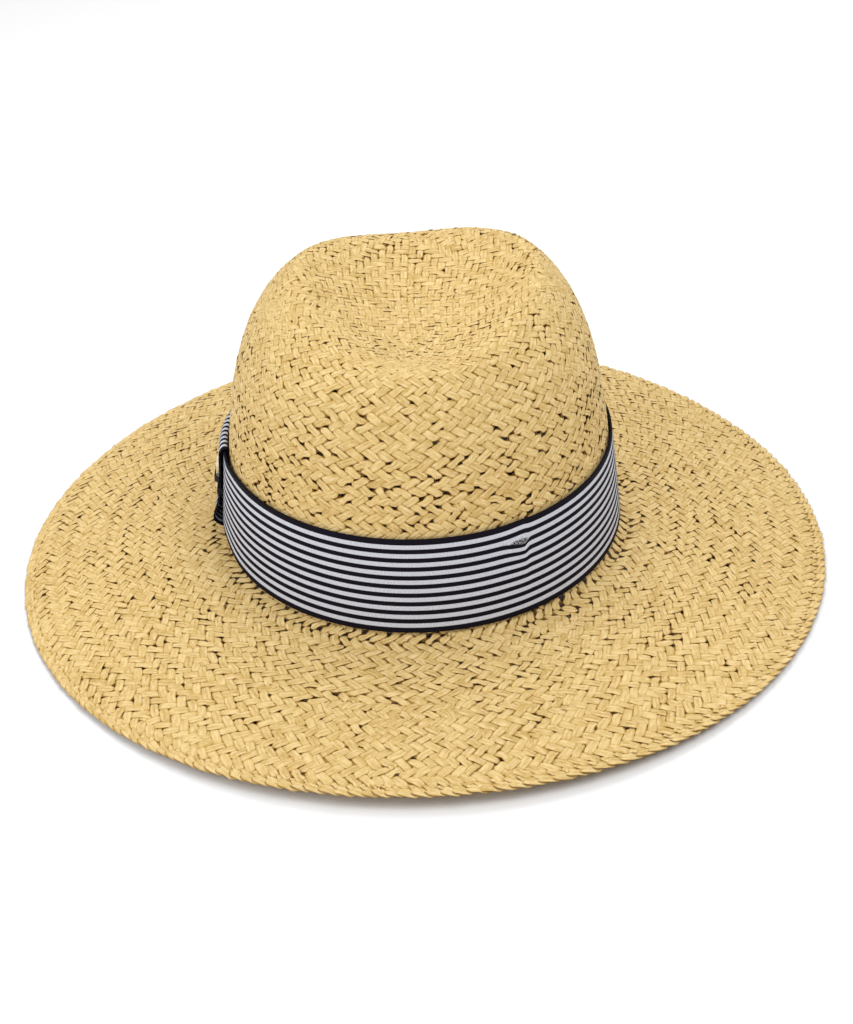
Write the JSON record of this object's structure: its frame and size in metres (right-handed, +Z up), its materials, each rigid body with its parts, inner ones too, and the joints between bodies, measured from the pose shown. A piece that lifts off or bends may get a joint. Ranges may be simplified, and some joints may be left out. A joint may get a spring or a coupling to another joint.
{
  "type": "woven straw fedora",
  "caption": "Wide-brimmed woven straw fedora with a teardrop crown, a striped ribbon band and a folded ribbon tab that holds a small metal slide.",
  "frame": {"origin": "centre of the bounding box on the surface that the brim stands on", "axes": "+Z up through the crown, front of the hat towards -Y, ribbon tab on the -X side"},
  "size_m": [0.349, 0.3776, 0.1299],
  "materials": {
    "straw": "matt woven paper straw, golden",
    "ribbon": "ribbed ribbon, off-white with fine navy stripes",
    "tape": "ribbed navy tape",
    "slide_metal": "polished pale gold tone"
  },
  "bodies": {
    "root": {"straw_body": "straw", "hat_band": "ribbon", "ribbon_tab": "ribbon", "tab_keeper": "tape", "slide": "slide_metal"}
  },
  "joints": []
}
